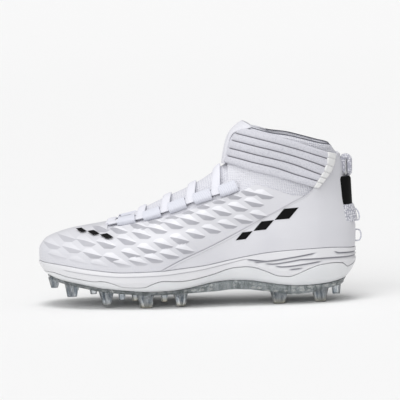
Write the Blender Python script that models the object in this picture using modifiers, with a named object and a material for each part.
"""A left american football cleat of mid height, built as separate pieces in metres.

The shoe is modelled with its toe at x = 0 and its heel at x = LENGTH, its outer side at -y and
the tips of its studs at z = 0. At the end an empty that carries it all centres it on the origin.
"""

import math
from functools import lru_cache
from typing import NamedTuple

import bmesh
import bpy
import numpy as np

# Driving dimensions
LENGTH = 0.300
BALL_WIDTH = 0.100
UPPER_HEIGHT = 0.1555
STUD_LENGTH = 0.012
PLATE_THICKNESS = 0.004
TOE_SPRING = 0.015
BALL_DROP = 0.011
COLLAR_HUMP = 0.007
TOE_INSWING = 0.005
SOLE_TUCK = 0.016

# Walls and thicknesses
UPPER_WALL = 0.0026
OVERLAY_THICKNESS = 0.0010
RIM_PROUD = 0.0023
BAND_THICKNESS = 0.0024
FLOOR_RISE = 0.0010
INSOLE_THICKNESS = 0.0040
TONGUE_THICKNESS = 0.0040
TONGUE_CROWN = 0.0020
TONGUE_RISE = 0.0065
STRAP_THICKNESS = 0.0026
STRAP_GROOVE_DEPTH = 0.0010
STRAP_TAB_THICKNESS = 0.0034
SOLE_GROOVE_DEPTH = 0.0011
STUD_SEAT = 0.0025
GAP = 0.0003
SKIN_GAP = 0.0004
SOLE_GAP = 0.0006

# The height of the upper's lower edge, and the step from the last out to a skin's face
SOLE_BASE = STUD_LENGTH + PLATE_THICKNESS
OVERLAY_STEP = OVERLAY_THICKNESS + SKIN_GAP

# Throat, laces and their loops
THROAT_START = 0.260 * LENGTH
THROAT_END = 0.603 * LENGTH
THROAT_FRONT_HALF_WIDTH = 0.120 * BALL_WIDTH
THROAT_TOP_HALF_WIDTH = 0.235 * BALL_WIDTH
THROAT_FLARE = 0.8
EYESTAY_WIDTH = 0.0108
EYESTAY_DROP = 0.0062
STEEP_SIDE = 0.45
LOOP_FIRST = 0.2867 * LENGTH
LOOP_PITCH = 0.0793 * LENGTH
LOOP_COUNT = 5
LOOP_LENGTH = 0.0160
LOOP_WALL = 0.0009
LOOP_GAP = 0.0006
LACE_WIDTH = 0.0060
LACE_THICKNESS = 0.0017
LACE_CLEARANCE = 0.0005
LACE_BAR_LEAD = 0.0060

# Heel pull tab, its sleeve and the two small cords
TAB_WIDTH = 0.016
TAB_PLY = 0.0014
TAB_TOP = SOLE_BASE + 0.783 * UPPER_HEIGHT
TAB_FOOT = SOLE_BASE + 0.473 * UPPER_HEIGHT
TAB_REACH = 0.995 * LENGTH
TAB_HEEL_SPACE = 0.0032
TAB_CROWN = 0.0030
SLEEVE_LOW = SOLE_BASE + 0.482 * UPPER_HEIGHT
SLEEVE_HIGH = SOLE_BASE + 0.650 * UPPER_HEIGHT
SLEEVE_WALL = 0.0009
SLEEVE_HALF_WIDTH = 0.0120
SLEEVE_SHOULDER = 0.0020
CORD_DIAMETER = 0.0013
CORD_REACH = 0.0052
CORD_TWIST = 0.0020

# Foot and top of each cord loop above SOLE_BASE, as shares of UPPER_HEIGHT
CORD_HEIGHTS = ((0.376, 0.444), (0.252, 0.316))

# Columns around a loop of the last, and the steps that its directions are measured with
AROUND = 44
COLUMN_STEP = 1 / AROUND
TURN_STEP = 0.004
LEVEL_STEP = 0.01
WELD = 1e-6

# How far from the front the tongue and the strap's lower and upper edge reach around each side
TONGUE_REACH = 0.17
STRAP_FOOT_REACH = 0.356
STRAP_TOP_REACH = 0.384

# Foot and top of the grip's front and rear edge around the outer side
GRIP_FRONT = (0.3595, 0.3875)
GRIP_REAR = (0.379, 0.432)


class Section(NamedTuple):
    """One loop around the last, from the edge of the bed up to the collar.

    Places along the shoe are shares of LENGTH, heights are shares of UPPER_HEIGHT above
    SOLE_BASE, half widths are shares of BALL_WIDTH, and the two follow columns say how much of
    the rim's and of the collar's own line the loop takes.
    """

    level: float
    front: float
    front_height: float
    back: float
    back_height: float
    rim_follow: float
    collar_follow: float
    outer_toe: float
    outer_ball: float
    outer_waist: float
    outer_heel: float
    inner_toe: float
    inner_ball: float
    inner_waist: float
    inner_heel: float
    toe_bluntness: float
    heel_bluntness: float


SECTIONS = (
    Section(0.00, 0.033, 0.122, 0.973, 0.096, 0.95, 0,
            0.30, 0.450, 0.345, 0.285, 0.34, 0.410, 0.27, 0.270, 0.80, 0.74),
    Section(0.06, 0.015, 0.147, 0.990, 0.154, 1.00, 0,
            0.33, 0.485, 0.385, 0.325, 0.38, 0.446, 0.30, 0.305, 0.80, 0.74),
    Section(0.12, 0.008, 0.174, 0.994, 0.215, 1.00, 0,
            0.34, 0.493, 0.393, 0.335, 0.39, 0.453, 0.31, 0.313, 0.80, 0.75),
    Section(0.20, 0.007, 0.238, 0.997, 0.283, 0.85, 0,
            0.33, 0.487, 0.388, 0.336, 0.37, 0.443, 0.32, 0.314, 0.85, 0.77),
    Section(0.28, 0.024, 0.299, 0.997, 0.341, 0.60, 0,
            0.30, 0.462, 0.378, 0.331, 0.33, 0.422, 0.32, 0.311, 0.92, 0.79),
    Section(0.36, 0.100, 0.362, 0.990, 0.424, 0.30, 0,
            0.21, 0.375, 0.357, 0.316, 0.23, 0.352, 0.32, 0.301, 1.00, 0.82),
    Section(0.48, 0.250, 0.415, 0.978, 0.508, 0.10, 0,
            0.20, 0.342, 0.350, 0.301, 0.20, 0.322, 0.32, 0.291, 1.00, 0.84),
    Section(0.62, 0.400, 0.530, 0.968, 0.592, 0.00, 0,
            0.19, 0.312, 0.332, 0.281, 0.19, 0.297, 0.31, 0.272, 1.00, 0.86),
    Section(0.76, 0.533, 0.652, 0.961, 0.675, 0.00, 0.1,
            0.178, 0.290, 0.312, 0.265, 0.176, 0.28, 0.30, 0.26, 1.00, 0.88),
    Section(0.84, 0.593, 0.752, 0.960, 0.720, 0.00, 0.4,
            0.190, 0.296, 0.311, 0.252, 0.190, 0.29, 0.30, 0.25, 0.96, 0.90),
    Section(0.92, 0.612, 0.870, 0.954, 0.759, 0.00, 0.7,
            0.195, 0.301, 0.315, 0.245, 0.195, 0.30, 0.31, 0.24, 0.94, 0.92),
    Section(1.00, 0.646, 0.971, 0.949, 0.785, 0.00, 1.0,
            0.190, 0.305, 0.320, 0.245, 0.190, 0.30, 0.31, 0.24, 0.94, 0.92),
)

# Where along a loop, front to back, its four half widths are measured
WIDTH_STATIONS = (0.10, 0.35, 0.62, 0.88)

RIM_LEVEL = 0.12
THROAT_LEVEL = 0.30
UPPER_LEVELS = (
    0, 0.06, 0.12, 0.16, 0.20, 0.24, 0.28, 0.32, 0.36, 0.40, 0.44, 0.48, 0.54, 0.60, 0.68, 0.76,
    0.80, 0.84, 0.89, 0.94, 1.0,
)
SKIN_FOOT_LEVEL = 0.145
TONGUE_FOOT_LEVEL = 0.43

# The rim's line off a straight one: share of LENGTH, share of BALL_DROP
RIM_LINE = (
    (0.0, 0.0), (0.076, -0.24), (0.18, -0.71), (0.28, -0.99), (0.38, -0.96), (0.45, -0.84), (0.52, -0.70),
    (0.59, -0.40), (0.66, -0.09), (0.73, 0.14), (0.80, 0.23), (0.90, 0.26), (1.0, 0.0),
)

# The collar's edge off a straight line: share of the loop front to back, share of COLLAR_HUMP
COLLAR_LINE = (
    (0.0, 0.0), (0.11, 0.12), (0.276, 0.22), (0.51, 0.65), (0.80, 0.83), (0.92, 1.0), (0.965, 0.48),
    (1.0, 0.0),
)

# The lower edge of the sole's side above SOLE_BASE: share of LENGTH, share of TOE_SPRING
SIDE_FOOT_LINE = (
    (0.0, 1.10), (0.025, 0.98), (0.073, 0.69), (0.14, 0.45), (0.21, 0.21), (0.277, 0.08), (0.345, 0.0),
    (0.413, 0.03), (0.48, 0.19), (0.56, 0.49), (0.61, 0.55), (0.66, 0.51), (0.713, 0.35), (0.763, 0.19),
    (0.817, 0.10), (0.85, 0.11), (0.90, 0.17), (0.963, 0.38), (1.0, 0.70),
)

# The stud plate's lower face above STUD_LENGTH: share of LENGTH, share of TOE_SPRING
PLATE_LINE = (
    (0.0, 1.15), (0.073, 0.72), (0.14, 0.46), (0.21, 0.22), (0.277, 0.09), (0.345, 0.0), (0.43, 0.03),
    (0.51, 0.08), (0.56, 0.12), (0.61, 0.20), (0.66, 0.16), (0.713, 0.02), (0.77, -0.16), (0.80, -0.22),
    (0.85, -0.16), (0.90, 0.02), (0.963, 0.28), (1.0, 0.55),
)

# Where midsole and outsole part: share of LENGTH, share of the side's height
PARTING_LINE = (
    (0.0, 0.12), (0.03, 0.30), (0.057, 0.42), (0.107, 0.34), (0.167, 0.34), (0.215, 0.46),
    (0.243, 0.36), (0.275, 0.20), (0.335, 0.24), (0.365, 0.43), (0.39, 0.53), (0.467, 0.41),
    (0.54, 0.46), (0.61, 0.63), (0.647, 0.615),
    (0.68, 0.54), (0.713, 0.41), (0.755, 0.27), (0.783, 0.265), (0.817, 0.36), (0.85, 0.48), (0.887, 0.56),
    (0.92, 0.575), (0.95, 0.54), (0.971, 0.38), (1.0, 0.46),
)

# Upper edge of the heel quarter's overlay: share of LENGTH, share of UPPER_HEIGHT
QUARTER_LINE = (
    (0.384, 0.121), (0.450, 0.185), (0.543, 0.261), (0.638, 0.348), (0.718, 0.429), (0.771, 0.481),
    (0.797, 0.507), (0.823, 0.531), (0.845, 0.553), (0.861, 0.581), (0.881, 0.630), (0.911, 0.712),
    (0.94, 0.79),
)

# Rear edge of the vamp panel, where the collar's own cloth begins, and the strap's two edges
PANEL_TOP_LINE = ((0.60, 0.700), (0.646, 0.662), (0.686, 0.626), (0.754, 0.584), (0.802, 0.550))
STRAP_FOOT_LINE = (
    (0.57, 0.755), (0.630, 0.730), (0.670, 0.706), (0.755, 0.664), (0.871, 0.594), (0.96, 0.542),
)
STRAP_TOP_LINE = (
    (0.60, 0.965), (0.636, 0.958), (0.724, 0.925), (0.826, 0.868), (0.923, 0.795), (0.96, 0.765),
)


class WallRow(NamedTuple):
    """One height of the sole's side, a share of its full height, and insets as shares of SOLE_TUCK."""

    height: float
    side: float
    toe: float
    heel: float


SOLE_WALL = (
    WallRow(0.00, 0.36, 0.48, 0.60),
    WallRow(0.09, 0.19, 0.36, 0.36),
    WallRow(0.26, 0.07, 0.24, 0.15),
    WallRow(0.52, -0.02, 0.12, -0.01),
    WallRow(0.78, -0.04, 0.05, -0.03),
    WallRow(1.00, 0.00, 0.00, 0.00),
)

# How far the plate's edge and its lower face lie in from the side's foot, as shares of SOLE_TUCK
PLATE_EDGE_INSET = 0.10
PLATE_FACE_INSET = 0.20

# How the heel quarter's edge begins, ends and keeps clear of the vamp panel, as a share and levels
QUARTER_TAPER = 0.004
QUARTER_SEAM = 0.012
QUARTER_TOP_LEVEL = 0.975
MIN_SKIN_SPAN = 0.008


class Groove(NamedTuple):
    """A groove in the midsole's side, by shares of LENGTH and of the side's height."""

    name: str
    points: tuple
    half_width: float


GROOVES = (
    Groove("edge_line", ((0.08, 0.73), (0.15, 0.745), (0.28, 0.80), (0.45, 0.82), (0.56, 0.86)), 0.0006),
    Groove("rib_1", ((0.690, 0.80), (0.72, 0.81), (0.795, 0.855)), 0.0008),
    Groove("rib_2", ((0.725, 0.665), (0.78, 0.71), (0.83, 0.745), (0.91, 0.73), (1.0, 0.72)), 0.0009),
    Groove("rib_3", ((0.762, 0.535), (0.83, 0.575), (0.888, 0.655)), 0.0009),
    Groove("heel_rib", ((0.925, 0.905), (0.942, 0.86), (1.0, 0.86)), 0.0008),
)
GROOVE_STEP = 0.016


class Stud(NamedTuple):
    """One stud: its place as shares of LENGTH and of the plate's half width, its sizes and tip's lift.

    Root and tip sizes are shares of STUD_LENGTH, and the lift is a share of TOE_SPRING.
    """

    name: str
    place: float
    side: float
    root_long: float
    root_wide: float
    tip_long: float
    tip_wide: float
    lift: float


STUDS = (
    Stud("toe_outer", 0.050, -0.62, 0.95, 0.80, 0.55, 0.45, 1.15),
    Stud("toe_inner", 0.044, 0.55, 0.95, 0.80, 0.55, 0.45, 1.20),
    Stud("front_outer", 0.107, -0.78, 1.15, 0.95, 0.78, 0.55, 0.66),
    Stud("front_inner", 0.104, 0.78, 1.15, 0.95, 0.78, 0.55, 0.66),
    Stud("ball_outer_1", 0.216, -0.82, 1.30, 1.05, 0.66, 0.60, 0.20),
    Stud("ball_inner_1", 0.203, 0.82, 1.30, 1.05, 0.66, 0.60, 0.22),
    Stud("ball_outer_2", 0.339, -0.84, 1.38, 1.10, 0.90, 0.65, 0.0),
    Stud("ball_inner_2", 0.326, 0.84, 1.38, 1.10, 0.90, 0.65, 0.0),
    Stud("ball_outer_3", 0.448, -0.80, 1.15, 1.00, 0.72, 0.60, 0.06),
    Stud("ball_inner_3", 0.438, 0.80, 1.15, 1.00, 0.72, 0.60, 0.06),
    Stud("middle_1", 0.171, 0.05, 0.80, 0.80, 0.50, 0.50, 0.62),
    Stud("middle_2", 0.262, -0.24, 0.70, 0.70, 0.45, 0.45, 0.29),
    Stud("middle_3", 0.300, 0.26, 0.60, 0.60, 0.40, 0.40, 0.06),
    Stud("middle_4", 0.395, 0.05, 0.70, 0.70, 0.45, 0.45, 0.03),
    Stud("heel_outer_1", 0.755, -0.76, 1.45, 1.10, 0.90, 0.65, 0.0),
    Stud("heel_inner_1", 0.755, 0.74, 1.45, 1.10, 0.90, 0.65, 0.0),
    Stud("heel_outer_2", 0.885, -0.72, 1.35, 1.05, 0.85, 0.65, 0.05),
    Stud("heel_inner_2", 0.885, 0.72, 1.35, 1.05, 0.85, 0.65, 0.05),
    Stud("heel_back", 0.938, 0.0, 0.85, 1.10, 0.60, 0.70, 0.33),
)
STUD_SIDES = 8


class Curve:
    """A smooth curve without overshoot through the rows of a table, whose first column is the place."""

    def __init__(self, rows):
        table = np.array(rows, dtype=float)
        self.places = table[:, 0]
        self.values = table[:, 1:]
        rises = np.diff(self.values, axis=0) / np.diff(self.places)[:, None]
        before, after = rises[:-1], rises[1:]
        same_way = before * after > 0
        total = np.where(same_way, before + after, 1.0)
        inner = np.where(same_way, 2 * before * after / total, 0.0)
        self.slopes = np.vstack((rises[:1], inner, rises[-1:]))

    def __call__(self, place):
        place = min(max(place, self.places[0]), self.places[-1])
        row = min(int(np.searchsorted(self.places, place, side="right")) - 1, len(self.places) - 2)
        width = self.places[row + 1] - self.places[row]
        t = (place - self.places[row]) / width
        start, end = self.values[row], self.values[row + 1]
        leave, arrive = self.slopes[row] * width, self.slopes[row + 1] * width
        value = start + t * leave + t * t * (3 * (end - start) - 2 * leave - arrive)
        value = value + t ** 3 * (2 * (start - end) + leave + arrive)
        return value if len(value) > 1 else float(value[0])


SECTION_CURVE = Curve(SECTIONS)
RIM_CURVE = Curve(RIM_LINE)
COLLAR_CURVE = Curve(COLLAR_LINE)
SIDE_FOOT_CURVE = Curve(SIDE_FOOT_LINE)
PLATE_CURVE = Curve(PLATE_LINE)
PARTING_CURVE = Curve(PARTING_LINE)
WALL_CURVE = Curve(SOLE_WALL)
QUARTER_CURVE = Curve(QUARTER_LINE)
PANEL_TOP_CURVE = Curve(PANEL_TOP_LINE)
STRAP_FOOT_CURVE = Curve(STRAP_FOOT_LINE)
STRAP_TOP_CURVE = Curve(STRAP_TOP_LINE)


# The last's surface

@lru_cache(maxsize=None)
def loop_at(level):
    """Return one loop's sizes, and its half widths along the loop on the outer and the inner side."""
    row = Section(level, *SECTION_CURVE(level))

    def widths(values):
        rows = []
        for station, value in zip(WIDTH_STATIONS, values):
            bluntness = row.toe_bluntness + station * (row.heel_bluntness - row.toe_bluntness)
            ellipse = 2 * math.sqrt(station * (1 - station))
            rows.append((station, value / ellipse ** bluntness))
        return Curve(rows)

    outer = widths((row.outer_toe, row.outer_ball, row.outer_waist, row.outer_heel))
    inner = widths((row.inner_toe, row.inner_ball, row.inner_waist, row.inner_heel))
    return row, outer, inner


def toe_swing(x):
    """Return how far the shoe's middle line bends to the inner side at x."""
    return TOE_INSWING * max(0.0, 1 - 5 * x / LENGTH) ** 2


def last_point(u, level):
    """Return the point at u around a loop: 0 is the front, 0.25 the outer side and 0.5 the back."""
    if level > 1:
        top = last_point(u, 1)
        below = last_point(u, 1 - LEVEL_STEP)
        return top + (top - below) * (level - 1) / LEVEL_STEP
    row, outer, inner = loop_at(round(max(level, 0.0), 6))
    turn = 2 * math.pi * u
    along = (1 - math.cos(turn)) / 2
    share = row.front + along * (row.back - row.front)
    height = row.front_height + along * (row.back_height - row.front_height)
    bluntness = row.toe_bluntness + along * (row.heel_bluntness - row.toe_bluntness)
    side = outer if math.sin(turn) > 0 else inner
    half = BALL_WIDTH * side(along) * abs(math.sin(turn)) ** bluntness
    x = LENGTH * share
    z = SOLE_BASE + UPPER_HEIGHT * height
    z += BALL_DROP * row.rim_follow * RIM_CURVE(share) + COLLAR_HUMP * row.collar_follow * COLLAR_CURVE(along)
    return np.array((x, toe_swing(x) - math.copysign(half, math.sin(turn)), z))


def skin_normal(u, level):
    """Return the outward direction of the last's surface."""
    around = last_point(u + TURN_STEP, level) - last_point(u - TURN_STEP, level)
    rise = last_point(u, level + LEVEL_STEP) - last_point(u, level - LEVEL_STEP)
    normal = np.cross(around, rise)
    return normal / np.linalg.norm(normal)


def skin_point(u, level, offset):
    """Return a point at an offset from the last's surface, outward when it is positive."""
    return last_point(u, level) + offset * skin_normal(u, level)


def around_at(x, level):
    """Return u on the outer side where the loop at this level passes x."""
    row = loop_at(round(level, 6))[0]
    along = (x / LENGTH - row.front) / (row.back - row.front)
    return math.acos(1 - 2 * min(max(along, 0.0), 1.0)) / (2 * math.pi)


def halve(low, high, is_low, rounds=26):
    """Close in on the place between low and high where is_low turns false."""
    for _ in range(rounds):
        middle = (low + high) / 2
        if is_low(middle):
            low = middle
        else:
            high = middle
    return (low + high) / 2


def level_on_line(u, curve, low=RIM_LEVEL, high=1.0):
    """Return the level at which column u meets a line seen from the side."""
    def below(level):
        point = last_point(u, level)
        return point[2] < SOLE_BASE + UPPER_HEIGHT * curve(point[0] / LENGTH)

    return halve(low, high, below)


def throat_half_width(x):
    """Return half the throat's width at x."""
    share = (x - THROAT_START) / (THROAT_END - THROAT_START)
    share = min(max(share, 0.0), 1.0) ** THROAT_FLARE
    return THROAT_FRONT_HALF_WIDTH + share * (THROAT_TOP_HALF_WIDTH - THROAT_FRONT_HALF_WIDTH)


def instep_place(x, side):
    """Return u and level where the instep is at x, this far to the inner side of the middle line."""
    def wide(level):
        u = around_at(x, level)
        return abs(last_point(math.copysign(u, -side), level)[1]) > abs(side)

    level = halve(THROAT_LEVEL, 0.90, wide)
    return math.copysign(around_at(x, level), -side), level


# The sole's side

def side_frame(u):
    """Return the rim's point at u and the outward direction there, seen from above."""
    rim = last_point(u, RIM_LEVEL)
    along = last_point(u + TURN_STEP, RIM_LEVEL) - last_point(u - TURN_STEP, RIM_LEVEL)
    out = np.array((along[1], -along[0], 0.0))
    return rim, out / np.linalg.norm(out)


def side_foot(x):
    """Return the height of the lower edge of the sole's side."""
    return SOLE_BASE + TOE_SPRING * SIDE_FOOT_CURVE(x / LENGTH)


def plate_face(x):
    """Return the height of the stud plate's lower face."""
    return STUD_LENGTH + TOE_SPRING * PLATE_CURVE(x / LENGTH)


def wall_plan(u, share, inward):
    """Return the plan place of the sole's side at a share of its height, moved inward."""
    rim, out = side_frame(u)
    toe = max(0.0, -out[0]) ** 2
    heel = max(0.0, out[0]) ** 2
    row = WallRow(share, *WALL_CURVE(share))
    inset = SOLE_TUCK * (row.side * (1 - toe - heel) + row.toe * toe + row.heel * heel)
    return rim + out * (RIM_PROUD - inset - inward)


def wall_point(u, share, inward=0.0, foot_rise=0.0, drop=0.0):
    """Return a point of the sole's side, moved inward, above a raised foot, or dropped a little."""
    place = wall_plan(u, share, inward)
    foot = side_foot(place[0]) + foot_rise
    rim_height = last_point(u, RIM_LEVEL)[2]
    return np.array((place[0], place[1], foot + share * (rim_height - foot) - drop))


def parting_share(u):
    """Return the share of the side's height where the outsole's band ends."""
    return PARTING_CURVE(last_point(u, RIM_LEVEL)[0] / LENGTH)


def around(function):
    """Return a loop of points from a function of u."""
    return [function(step * COLUMN_STEP) for step in range(AROUND)]


# Making objects

def collection(name):
    """Return a new collection in the scene."""
    group = bpy.data.collections.new(name)
    bpy.context.scene.collection.children.link(group)
    return group


def finish(name, color, roughness, metallic=0.0):
    """Return a Principled material."""
    material = bpy.data.materials.new(name)
    material.use_nodes = True
    shader = material.node_tree.nodes["Principled BSDF"]
    shader.inputs["Base Color"].default_value = (*color, 1.0)
    shader.inputs["Roughness"].default_value = roughness
    shader.inputs["Metallic"].default_value = metallic
    material.diffuse_color = (*color, 1.0)
    return material


def mesh_object(name, bm, group, material=None, turn_out=True):
    """Turn a bmesh into an object of a collection, with its faces turned to point out."""
    if turn_out:
        bmesh.ops.recalc_face_normals(bm, faces=bm.faces)
    mesh = bpy.data.meshes.new(name)
    bm.to_mesh(mesh)
    bm.free()
    mesh.shade_smooth()
    mesh.set_sharp_from_angle(angle=math.radians(40))
    obj = bpy.data.objects.new(name, mesh)
    group.objects.link(obj)
    if material:
        mesh.materials.append(material)
    return obj


def skin_loops(bm, loops, closed=True, wrap=False):
    """Add loops of points to a bmesh, join each to the next with faces, and return their vertices."""
    rows = [[bm.verts.new(point) for point in loop] for loop in loops]
    count = len(rows[0])
    pairs = list(zip(rows, rows[1:]))
    if wrap:
        pairs.append((rows[-1], rows[0]))
    for low, high in pairs:
        for i in range(count if closed else count - 1):
            j = (i + 1) % count
            bm.faces.new((low[i], low[j], high[j], high[i]))
    return rows


def cap_across(bm, row):
    """Close a loop of the last with faces that run straight from the outer to the inner side."""
    count = len(row)
    for i in range(count // 2):
        corners = [row[i], row[i + 1], row[(count - i - 1) % count], row[(count - i) % count]]
        corners = list(dict.fromkeys(corners))
        bm.faces.new(corners)


def lofted(name, loops, group, material):
    """Return a closed solid through loops of the last, with both its ends closed across."""
    bm = bmesh.new()
    rows = skin_loops(bm, loops)
    cap_across(bm, rows[0])
    cap_across(bm, rows[-1])
    return mesh_object(name, bm, group, material)


def swept(name, sections, group, material=None, wrap=False):
    """Return a closed solid through sections along a path, with flat ends or as a ring."""
    bm = bmesh.new()
    rows = skin_loops(bm, sections, wrap=wrap)
    if not wrap:
        bm.faces.new(rows[0])
        bm.faces.new(rows[-1])
    return mesh_object(name, bm, group, material)


def thicken(obj, thickness):
    """Grow an open surface inward into a wall."""
    wall = obj.modifiers.new("wall", "SOLIDIFY")
    wall.thickness = thickness
    wall.offset = -1
    wall.use_even_offset = True
    return obj


def shell(name, rows, thickness, group, material, closed=False):
    """Return an open surface, its rows in the order of their height, as a wall that grows inward."""
    bm = bmesh.new()
    skin_loops(bm, rows, closed=closed)
    return thicken(mesh_object(name, bm, group, material, turn_out=closed), thickness)


def boolean(obj, cutter, operation):
    """Cut or join an object with another, which is then only a guide."""
    change = obj.modifiers.new(cutter.name, "BOOLEAN")
    change.operation = operation
    change.object = cutter
    change.solver = "EXACT"
    cutter.hide_render = True
    cutter.display_type = "WIRE"


# The pieces

def make_upper(parts, cutters, material):
    """The upper: one hollow wall from the bed's edge to the collar, with the throat cut out."""
    rows = [around(lambda u, level=level: last_point(u, level)) for level in UPPER_LEVELS]
    upper = shell("upper", rows, UPPER_WALL, parts, material, closed=True)
    corners = []
    steps = 6
    for step in range(steps + 1):
        turn = math.pi * (0.5 + step / steps)
        x = THROAT_START + THROAT_FRONT_HALF_WIDTH * (1 + math.cos(turn))
        corners.append((x, THROAT_FRONT_HALF_WIDTH * math.sin(turn)))
    first_side = THROAT_START + THROAT_FRONT_HALF_WIDTH
    sides = [first_side + step * (THROAT_END - THROAT_START) / 5 for step in range(1, 5)]
    sides.append(THROAT_END)
    corners += [(x, -throat_half_width(x)) for x in sides]
    corners += [(x, throat_half_width(x)) for x in reversed(sides)]
    bm = bmesh.new()
    base = SOLE_BASE + THROAT_LEVEL * UPPER_HEIGHT
    face = bm.faces.new([bm.verts.new((x, y, base)) for x, y in corners])
    grown = bmesh.ops.extrude_face_region(bm, geom=[face])
    lifted = [part for part in grown["geom"] if isinstance(part, bmesh.types.BMVert)]
    bmesh.ops.translate(bm, verts=lifted, vec=(0, 0, UPPER_HEIGHT))
    boolean(upper, mesh_object("throat_cutter", bm, cutters), "DIFFERENCE")


def make_insole(parts, material):
    """The insole: a pad inside the upper's lower edge, on the midsole's bed."""
    def edge(u, rise):
        foot = last_point(u, 0)
        ahead = last_point(u + TURN_STEP, 0) - last_point(u - TURN_STEP, 0)
        out = np.array((ahead[1], -ahead[0], 0.0)) / math.hypot(ahead[0], ahead[1])
        place = foot - out * (UPPER_WALL + GAP)
        bed = last_point(around_at(place[0], 0), 0)[2]
        return np.array((place[0], place[1], bed + rise))

    loops = [around(lambda u, rise=rise: edge(u, rise)) for rise in (0.0, INSOLE_THICKNESS)]
    lofted("insole", loops, parts, material)


def make_midsole(parts, cutters, material):
    """The midsole: a cup around the upper's foot, with ribs and a step above the outsole's band."""
    inward = BAND_THICKNESS + SOLE_GAP
    loops = [around(lambda u: last_point(u, 0) + side_frame(u)[1] * GAP - np.array((0, 0, GAP)))]
    loops += [around(lambda u, level=level: skin_point(u, level, GAP)) for level in (0.06, RIM_LEVEL)]
    for share in (1.0, 0.7, 0.35, 0.0):
        loops.append(around(lambda u, t=share: wall_point(u, t + (1 - t) * parting_share(u))))
    for share in (1.0, 0.5, 0.0):
        loops.append(around(lambda u, t=share: wall_point(
            u, t * parting_share(u), inward, FLOOR_RISE + SOLE_GAP)))
    midsole = lofted("midsole", loops, parts, material)
    boolean(midsole, make_groove_cutter(cutters), "DIFFERENCE")


def groove_path(points, side):
    """Return u and height shares along a groove on one side of the shoe."""
    line = Curve(points)
    start, end = points[0][0], points[-1][0]
    count = max(2, round((end - start) * LENGTH / GROOVE_STEP))
    path = []
    for step in range(count + 1):
        place = start + (end - start) * step / count
        u = 0.5 if place >= 1 else around_at(place * LENGTH, RIM_LEVEL)
        path.append((math.copysign(u, side), line(place)))
    return path


def make_groove_cutter(cutters):
    """Diamond rods along the grooves of both sides, a groove that reaches the back going round it."""
    bm = bmesh.new()
    for groove in GROOVES:
        outer = groove_path(groove.points, 1)
        inner = groove_path(groove.points, -1)
        paths = [outer, inner]
        if groove.points[-1][0] >= 1:
            paths = [outer + inner[-2::-1]]
        for path in paths:
            sections = []
            for u, share in path:
                middle = wall_point(u % 1.0, share)
                out = side_frame(u)[1] * SOLE_GROOVE_DEPTH
                rise = np.array((0, 0, groove.half_width))
                sections.append((middle + out, middle + rise, middle - out, middle - rise))
            rows = skin_loops(bm, sections)
            bm.faces.new(rows[0])
            bm.faces.new(rows[-1])
    return mesh_object("groove_cutter", bm, cutters)


def make_outsole(parts, cutters, material):
    """The outsole: a side band, a floor and a stud plate moulded as one, with all its studs."""
    loops = []
    for share in (0.0, 0.5, 1.0):
        drop = SOLE_GAP if share == 1.0 else 0.0
        loops.append(around(lambda u, t=share, d=drop: wall_point(
            u, t * parting_share(u), BAND_THICKNESS, FLOOR_RISE, d)))
    for share in (1.0, 0.5, 0.0):
        drop = SOLE_GAP if share == 1.0 else 0.0
        loops.append(around(lambda u, t=share, d=drop: wall_point(u, t * parting_share(u), drop=d)))

    def plate_point(u, inset, at_face):
        place = wall_plan(u, 0.0, SOLE_TUCK * inset)
        foot = side_foot(place[0])
        height = plate_face(place[0]) if at_face else 0.5 * (foot + plate_face(place[0]))
        return np.array((place[0], place[1], height))

    loops.append(around(lambda u: plate_point(u, PLATE_EDGE_INSET, False)))
    loops.append(around(lambda u: plate_point(u, PLATE_FACE_INSET, True)))
    outsole = lofted("outsole", loops, parts, material)
    boolean(outsole, make_stud_set(cutters), "UNION")


def plate_half_width(x, side):
    """Return the plate's half width at x, on the side with this sign."""
    u = math.copysign(around_at(x, RIM_LEVEL), -side)
    return abs(wall_plan(u, 0.0, SOLE_TUCK * PLATE_FACE_INSET)[1])


def make_stud_set(cutters):
    """All the studs as tapered oval blocks, each seated a little way into the plate."""
    bm = bmesh.new()
    for stud in STUDS:
        x = stud.place * LENGTH
        tip = stud.lift * TOE_SPRING
        root = plate_face(x) + STUD_SEAT
        reach = plate_half_width(x, stud.side or 1.0)
        cone = bmesh.ops.create_cone(
            bm, cap_ends=True, segments=STUD_SIDES, radius1=0.5, radius2=0.5, depth=1.0)
        for vert in cone["verts"]:
            at_tip = vert.co.z < 0
            long = stud.tip_long if at_tip else stud.root_long
            wide = stud.tip_wide if at_tip else stud.root_wide
            vert.co.x = x + vert.co.x * long * STUD_LENGTH
            vert.co.y = stud.side * reach + toe_swing(x) + vert.co.y * wide * STUD_LENGTH
            vert.co.z = tip if at_tip else root
    return mesh_object("stud_set", bm, cutters)


def overlay(name, steps, low_of, high_of, group, material):
    """Return a skin on the upper's own columns and levels, between a low and a high edge."""
    rows = []
    levels = [level for level in UPPER_LEVELS if level > SKIN_FOOT_LEVEL]
    edges = {step: (low_of(step * COLUMN_STEP), high_of(step * COLUMN_STEP)) for step in steps}
    edges = {step: pair for step, pair in edges.items() if pair[1] - pair[0] > MIN_SKIN_SPAN}
    for level in (0.0, *levels, 1.0):
        row = []
        for step, (low, high) in edges.items():
            held = min(max(level, low), high)
            row.append(skin_point(step * COLUMN_STEP, held, OVERLAY_STEP))
        rows.append(row)
    bm = bmesh.new()
    skin_loops(bm, rows, closed=False)
    bmesh.ops.remove_doubles(bm, verts=bm.verts, dist=WELD)
    return thicken(mesh_object(name, bm, group, material, turn_out=False), OVERLAY_THICKNESS)


def quarter_edge(u):
    """Return the level of the heel quarter's edge in column u."""
    return level_on_line(u, QUARTER_CURVE)


def passes_quarter(u):
    """Tell whether column u crosses the heel quarter."""
    return last_point(u, SKIN_FOOT_LEVEL)[0] / LENGTH > QUARTER_LINE[0][0] + QUARTER_TAPER


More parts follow.
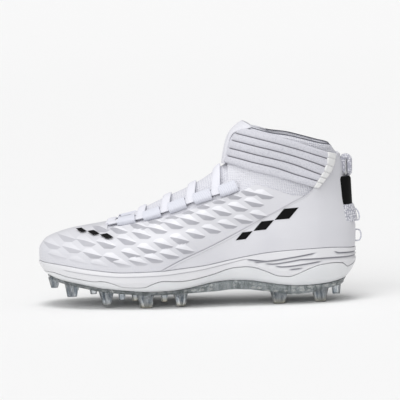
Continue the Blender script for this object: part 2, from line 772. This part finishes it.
def make_vamp_panel(parts, material):
    """The moulded skin over toe and sides, up to the eyestays, the quarter and the collar's cloth."""
    def is_panel(u, level):
        x, y, z = last_point(u, level)
        place = x / LENGTH
        height = (z - SOLE_BASE) / UPPER_HEIGHT
        beside_throat = abs(y) > throat_half_width(x) + EYESTAY_WIDTH
        if place > STEEP_SIDE and not beside_throat:
            u_loop, level_loop = instep_place(x, math.copysign(loop_side(x), y))
            beside_throat = last_point(u_loop, level_loop)[2] - z > EYESTAY_DROP
        ahead = x < THROAT_START - EYESTAY_WIDTH
        under_collar = place < PANEL_TOP_LINE[0][0] or height < PANEL_TOP_CURVE(place)
        return (beside_throat or ahead) and under_collar

    def low_of(u):
        return quarter_edge(u) + QUARTER_SEAM if passes_quarter(u) else SKIN_FOOT_LEVEL

    def high_of(u):
        return halve(low_of(u), 0.80, lambda level: is_panel(u, level))

    reach = AROUND // 2 - 5
    overlay("vamp_panel", range(-reach, reach + 1), low_of, high_of, parts, material)


def make_quarter_overlay(parts, material):
    """The smooth heel counter that wraps both sides under a slanting edge."""
    def high_of(u):
        return min(quarter_edge(u), QUARTER_TOP_LEVEL) if passes_quarter(u) else 0.0

    overlay("quarter_overlay", range(1, AROUND), lambda u: SKIN_FOOT_LEVEL, high_of, parts, material)


def make_tongue(parts, material):
    """The tongue: a strip under the throat that follows the upper's inside and tops the collar."""
    count = 8
    steepness = (last_point(0, 1)[2] - last_point(0, 1 - LEVEL_STEP)[2]) / LEVEL_STEP
    levels = [level for level in UPPER_LEVELS if level > TONGUE_FOOT_LEVEL]
    levels.append(1 + TONGUE_RISE / steepness)
    rows = []
    for level in levels:
        row = []
        for step in range(count + 1):
            u = TONGUE_REACH * (2 * step / count - 1)
            x, y, _ = last_point(u, level)
            across = abs(y) / (throat_half_width(x) - TONGUE_CROWN)
            in_throat = THROAT_START + THROAT_FRONT_HALF_WIDTH < x < THROAT_END - THROAT_FRONT_HALF_WIDTH
            crown = TONGUE_CROWN * max(0.0, 1 - across ** 2) if in_throat else 0.0
            row.append(skin_point(u, level, crown - UPPER_WALL - SKIN_GAP))
        rows.append(row)
    shell("tongue", rows, TONGUE_THICKNESS, parts, material)


def strap_level(u, share):
    """Return the level of column u at a share of the strap's width, from its foot to its top."""
    foot = level_on_line(u, STRAP_FOOT_CURVE)
    top = level_on_line(u, STRAP_TOP_CURVE, foot)
    return foot + share * (top - foot)


def make_strap(parts, material):
    """The ankle strap: five soft ribs around the front of the ankle, sewn down on the inner side."""
    ribs = 5
    high = SKIN_GAP + STRAP_THICKNESS
    low = high - STRAP_GROOVE_DEPTH
    outer = [(0.0, low)]
    for rib in range(ribs):
        outer += [((rib + 0.16) / ribs, high), ((rib + 0.84) / ribs, high), ((rib + 1) / ribs, low)]
    inner = [(1 - step / ribs, 2 * GAP) for step in range(ribs + 1)]
    profile = outer + inner
    columns = 26
    sections = []
    for column in range(columns + 1):
        swing = 2 * column / columns - 1
        rise = min(max((abs(swing) - 0.70) / 0.18, 0.0), 1.0)
        lift = OVERLAY_STEP * rise * rise * (3 - 2 * rise)
        section = []
        for share, offset in profile:
            u = swing * (STRAP_FOOT_REACH + share * (STRAP_TOP_REACH - STRAP_FOOT_REACH))
            section.append(skin_point(u, strap_level(u, share), offset + lift))
        sections.append(section)
    swept("ankle_strap", sections, parts, material)


def make_strap_tab(parts, material):
    """The moulded grip at the strap's end, with block ribs across it."""
    blocks = 6
    high = SKIN_GAP + STRAP_TAB_THICKNESS
    low = high - STRAP_GROOVE_DEPTH
    outer = []
    for block in range(blocks):
        outer += [((block + 0.12) / blocks, high), ((block + 0.88) / blocks, high)]
        if block < blocks - 1:
            outer.append(((block + 1) / blocks, low))
    profile = [(0.0, low)] + outer + [(1.0, low)]
    profile += [(1 - step / blocks, SKIN_GAP) for step in range(blocks + 1)]
    columns = 6
    sections = []
    for column in range(columns + 1):
        across = column / columns
        section = []
        for share, offset in profile:
            near = GRIP_FRONT[0] + share * (GRIP_FRONT[1] - GRIP_FRONT[0])
            far = GRIP_REAR[0] + share * (GRIP_REAR[1] - GRIP_REAR[0])
            u = near + across * (far - near)
            section.append(skin_point(u, strap_level(u, share), offset + OVERLAY_STEP + GAP))
        sections.append(section)
    swept("strap_end_tab", sections, parts, material)


def loop_middle(number):
    """Return the place along the shoe of a lace loop's middle."""
    return LOOP_FIRST + number * LOOP_PITCH


def loop_side(x):
    """Return the distance of a lace loop's middle from the shoe's middle line."""
    return throat_half_width(x) + LACE_WIDTH / 2 + LOOP_WALL + 2 * LACE_CLEARANCE


def loop_place(x, side, across, lift):
    """Return a point beside the throat: across away from a loop's middle line, and lifted off the upper."""
    middle = last_point(*instep_place(x, side * loop_side(x)))
    ahead = last_point(*instep_place(x + LOOP_WALL, side * loop_side(x + LOOP_WALL)))
    normal = skin_normal(*instep_place(x, side * loop_side(x)))
    away = np.cross(ahead - middle, normal)
    away *= math.copysign(1.0, away[1] * side) / np.linalg.norm(away)
    return middle + across * away + lift * normal


def make_lace_loops(parts, material):
    """Five webbing tunnels on each side of the throat, which the lace runs through lengthwise."""
    half = LACE_WIDTH / 2 + LACE_CLEARANCE + LOOP_WALL
    height = LACE_THICKNESS + 2 * LACE_CLEARANCE + 2 * LOOP_WALL
    ring = ((-1.0, 0.0), (1.0, 0.0), (1.0, 0.75), (0.8, 1.0), (-0.8, 1.0), (-1.0, 0.75))
    for side, label in ((-1, "outer"), (1, "inner")):
        for number in range(LOOP_COUNT):
            sections = []
            for end in (-0.5, 0.0, 0.5):
                x = loop_middle(number) + end * LOOP_LENGTH
                sections.append([loop_place(x, side, across * half, LOOP_GAP + lift * height)
                                 for across, lift in ring])
            shell(f"lace_loop_{label}_{number + 1}", sections, LOOP_WALL, parts, material, closed=True)


def make_laces(parts, material):
    """The lace: two runs through the loops and a bar across between each pair, as one flat ladder."""
    half = LACE_WIDTH / 2
    in_loop = LOOP_GAP + LOOP_WALL + LACE_CLEARANCE + LACE_THICKNESS
    bars = [loop_middle(0) - LOOP_LENGTH / 2 - LACE_BAR_LEAD]
    bars += [loop_middle(number) + LOOP_PITCH / 2 for number in range(LOOP_COUNT - 1)]
    top_end = loop_middle(LOOP_COUNT - 1) + LOOP_LENGTH / 2 + LACE_THICKNESS
    inner_shares = (-0.7, -0.35, 0.0, 0.35, 0.7)
    rows = []
    for bar, following in zip(bars, bars[1:] + [top_end + half]):
        rows += [(bar - half, True), (bar + half, True), ((bar + following) / 2, False)]
    rows.append((top_end, False))
    bm = bmesh.new()
    grid = []
    for x, is_bar in rows:
        ways = ((-1, 1), (-1, -1), (1, -1), (1, 1))
        runs = [loop_place(x, side, across * half, in_loop) for side, across in ways]
        resting = 2 * SKIN_GAP + LACE_THICKNESS if x < THROAT_START else GAP + LACE_THICKNESS / 2
        middle = []
        for share in inner_shares if is_bar else ():
            y = share * abs(runs[1][1] if share < 0 else runs[2][1])
            u, level = instep_place(x, y or WELD)
            middle.append(skin_point(u, level, resting + (in_loop - resting) * share ** 2))
        verts = [bm.verts.new(point) for point in (*runs[:2], *middle, *runs[2:])]
        if not is_bar:
            verts[2:2] = [None] * len(inner_shares)
        grid.append(verts)
    for low, high in zip(grid, grid[1:]):
        for i in range(len(low) - 1):
            corners = (low[i], high[i], high[i + 1], low[i + 1])
            if all(corners):
                bm.faces.new(corners)
    lace = mesh_object("laces", bm, parts, material, turn_out=False)
    if lace.data.polygons[0].normal.z < 0:
        lace.data.flip_normals()
    thicken(lace, LACE_THICKNESS)


def heel_surface(z):
    """Return the level and x of the heel's back at a height."""
    level = halve(RIM_LEVEL, 1.0, lambda level: last_point(0.5, level)[2] < z)
    return level, last_point(0.5, level)[0] + SKIN_GAP + OVERLAY_THICKNESS


def make_pull_tab(parts, material):
    """The heel's pull tab: a webbing band folded into a loop, with a finger gap near its top."""
    heights = np.linspace(TAB_FOOT, TAB_TOP - TAB_CROWN, 7)
    inner_side = [(heel_surface(z)[1] + SKIN_GAP, z) for z in heights]
    upright = heel_surface(TAB_TOP)[1] + TAB_HEEL_SPACE
    inner_side = [(max(x, upright) if z > SLEEVE_HIGH else x, z) for x, z in inner_side]
    outer_side = [(TAB_REACH, z) for z in heights]
    top_x = (inner_side[-1][0] + TAB_REACH) / 2
    crown = [(top_x - 0.7 * TAB_CROWN, TAB_TOP - 0.2 * TAB_CROWN), (top_x + 0.6 * TAB_CROWN, TAB_TOP)]
    outline = inner_side + crown + outer_side[::-1]
    gap_low = SLEEVE_HIGH + SLEEVE_WALL
    gap_high = TAB_TOP - TAB_PLY - TAB_CROWN / 2
    near_side = inner_side[-1][0] + TAB_PLY
    far_side = TAB_REACH - TAB_PLY
    hole = [(near_side, gap_low + TAB_CROWN), (near_side, gap_high), (top_x, gap_high + TAB_CROWN / 3),
            (far_side, gap_high), (far_side, gap_low + TAB_CROWN), (top_x, gap_low)]
    curve = bpy.data.curves.new("pull_tab_outline", "CURVE")
    curve.dimensions = "2D"
    curve.fill_mode = "BOTH"
    curve.extrude = TAB_WIDTH / 2
    for outline_points in (outline, hole):
        spline = curve.splines.new("POLY")
        spline.points.add(len(outline_points) - 1)
        for point, (x, z) in zip(spline.points, outline_points):
            point.co = (x, z, 0.0, 1.0)
        spline.use_cyclic_u = True
    guide = bpy.data.objects.new("pull_tab_outline", curve)
    bpy.context.scene.collection.objects.link(guide)
    bpy.context.view_layer.update()
    solid = bpy.data.meshes.new_from_object(guide.evaluated_get(bpy.context.evaluated_depsgraph_get()))
    bpy.data.objects.remove(guide)
    bm = bmesh.new()
    bm.from_mesh(solid)
    bmesh.ops.remove_doubles(bm, verts=bm.verts, dist=WELD)
    for vert in bm.verts:
        vert.co.y, vert.co.z = -vert.co.z, vert.co.y
    mesh_object("pull_tab", bm, parts, material)


def make_sleeve(parts, material):
    """The rubber sleeve around the pull tab, flared onto the heel at both edges."""
    tab_half = TAB_WIDTH / 2 + GAP
    sections = []
    for z in np.linspace(SLEEVE_LOW, SLEEVE_HIGH, 6):
        level, back = heel_surface(z)
        front = TAB_REACH + GAP
        out = front + SLEEVE_WALL

        def heel_side(y, level=level):
            u = halve(0.25, 0.5, lambda place: abs(last_point(place, level)[1]) > abs(y))
            return skin_point(u, level, OVERLAY_STEP + SKIN_GAP)[0]

        edge = heel_side(SLEEVE_HALF_WIDTH)
        tab_edge = heel_side(tab_half)
        half = [(edge, SLEEVE_HALF_WIDTH), (edge + SLEEVE_WALL, SLEEVE_HALF_WIDTH),
                (out - SLEEVE_SHOULDER, tab_half + SLEEVE_WALL), (out, tab_half - SLEEVE_SHOULDER)]
        inside = [(front, tab_half), (tab_edge + GAP, tab_half)]
        outer = [(x, -y) for x, y in half] + [(x, y) for x, y in reversed(half)]
        inner = [(x, y) for x, y in reversed(inside)] + [(x, -y) for x, y in inside]
        sections.append([np.array((x, y, z)) for x, y in outer + inner])
    swept("pull_tab_sleeve", sections, parts, material)


def make_heel_cords(parts, material):
    """Two small cord loops that stand out behind the heel."""
    for number, (foot, top) in enumerate(CORD_HEIGHTS, start=1):
        steps = 10
        radius = UPPER_HEIGHT * (top - foot) / 2
        middle = SOLE_BASE + UPPER_HEIGHT * (top + foot) / 2
        curve = bpy.data.curves.new(f"heel_cord_{number}", "CURVE")
        curve.dimensions = "3D"
        curve.bevel_depth = CORD_DIAMETER / 2
        curve.bevel_resolution = 1
        curve.use_fill_caps = True
        spline = curve.splines.new("POLY")
        spline.points.add(steps)
        for step, point in enumerate(spline.points):
            turn = math.pi * step / steps
            z = middle + radius * math.cos(turn) * (1 + 0.25 * math.sin(turn))
            base = heel_surface(z)[1] + GAP
            out = base + CORD_REACH * math.sin(turn) ** 0.7
            point.co = (out, CORD_TWIST * math.cos(turn), z, 1.0)
        obj = bpy.data.objects.new(f"heel_cord_{number}", curve)
        parts.objects.link(obj)
        curve.materials.append(material)


def centre_on_origin(parts, cutters):
    """Hang pieces and guides on an empty that brings the middle of the shoe's box over the origin."""
    bpy.context.view_layer.update()
    graph = bpy.context.evaluated_depsgraph_get()
    corners = []
    for obj in parts.objects:
        mesh = obj.evaluated_get(graph).to_mesh()
        corners += [obj.matrix_world @ vert.co for vert in mesh.vertices]
    low = [min(corner[i] for corner in corners) for i in range(3)]
    high = [max(corner[i] for corner in corners) for i in range(3)]
    carrier = bpy.data.objects.new("shoe_origin", None)
    bpy.context.scene.collection.objects.link(carrier)
    for obj in (*parts.objects, *cutters.objects):
        obj.parent = carrier
    carrier.location = (-(low[0] + high[0]) / 2, -(low[1] + high[1]) / 2, -low[2])


def main():
    """Build every piece of the shoe."""
    for obj in list(bpy.data.objects):
        bpy.data.objects.remove(obj)
    parts = collection("american_football_cleat")
    cutters = collection("cutters")
    cloth = finish("white_synthetic", (0.86, 0.86, 0.89), 0.55)
    satin = finish("satin_white_film", (0.88, 0.88, 0.90), 0.35)
    webbing = finish("white_webbing", (0.84, 0.84, 0.86), 0.75)
    foam = finish("white_moulded_foam", (0.87, 0.87, 0.88), 0.32)
    clear = finish("clear_polyurethane", (0.62, 0.64, 0.67), 0.22)
    black = finish("black_rubber", (0.02, 0.02, 0.022), 0.5)
    make_upper(parts, cutters, cloth)
    make_insole(parts, cloth)
    make_midsole(parts, cutters, foam)
    make_outsole(parts, cutters, clear)
    make_tongue(parts, cloth)
    make_vamp_panel(parts, satin)
    make_quarter_overlay(parts, satin)
    make_strap(parts, webbing)
    make_strap_tab(parts, foam)
    make_lace_loops(parts, webbing)
    make_laces(parts, webbing)
    make_pull_tab(parts, webbing)
    make_sleeve(parts, black)
    make_heel_cords(parts, webbing)
    centre_on_origin(parts, cutters)


main()
